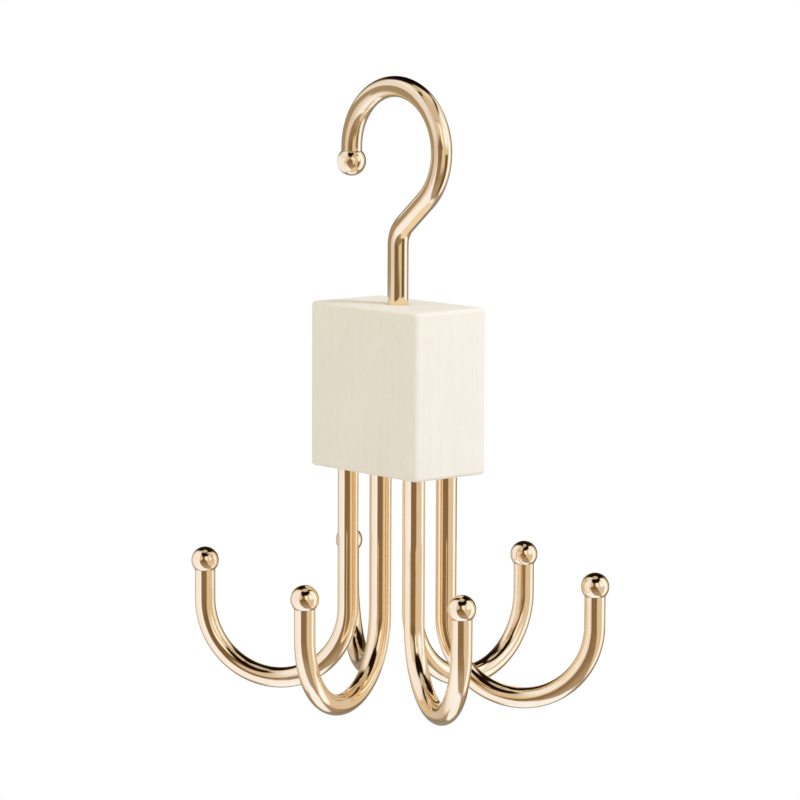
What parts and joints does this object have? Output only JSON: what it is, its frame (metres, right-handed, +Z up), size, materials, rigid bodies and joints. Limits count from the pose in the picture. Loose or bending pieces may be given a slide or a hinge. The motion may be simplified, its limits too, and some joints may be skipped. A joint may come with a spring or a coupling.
{
  "type": "belt hanger",
  "caption": "Belt hanger: a rail hook turns in a cream painted wooden block, which carries J-shaped belt hooks of plated wire with ball tips.",
  "frame": {"origin": "on the axis that the block turns about, where the closet rail bears on the inside of the rail hook's crown", "axes": "+Z up along the shank, +X along the block's long side, -Y out of the block's front wide face"},
  "size_m": [0.0973, 0.0886, 0.1501],
  "materials": {
    "plated_wire": "polished champagne plating on steel wire",
    "plated_ball": "polished champagne plating on a steel ball",
    "cream_paint": "cream satin paint over upright grain",
    "pin_steel": "bright drawn steel"
  },
  "bodies": {
    "hook": {"rail_hook": "plated_wire", "rail_hook_tip": "plated_ball"},
    "block": {"block": "cream_paint", "retaining_pin_left": "pin_steel", "retaining_pin_right": "pin_steel", "belt_hook_front_left": "plated_wire", "belt_hook_front_middle": "plated_wire", "belt_hook_front_right": "plated_wire", "belt_hook_rear_right": "plated_wire", "belt_hook_rear_middle": "plated_wire", "belt_hook_rear_left": "plated_wire", "belt_hook_tip_front_left": "plated_ball", "belt_hook_tip_front_middle": "plated_ball", "belt_hook_tip_front_right": "plated_ball", "belt_hook_tip_rear_right": "plated_ball", "belt_hook_tip_rear_middle": "plated_ball", "belt_hook_tip_rear_left": "plated_ball"}
  },
  "joints": [
    {"name": "block_swivel", "type": "hinge", "parent": "hook", "child": "block", "pos_m": [0, 0, -0.0494], "axis": [0, 0, 1], "continuous": true}
  ]
}
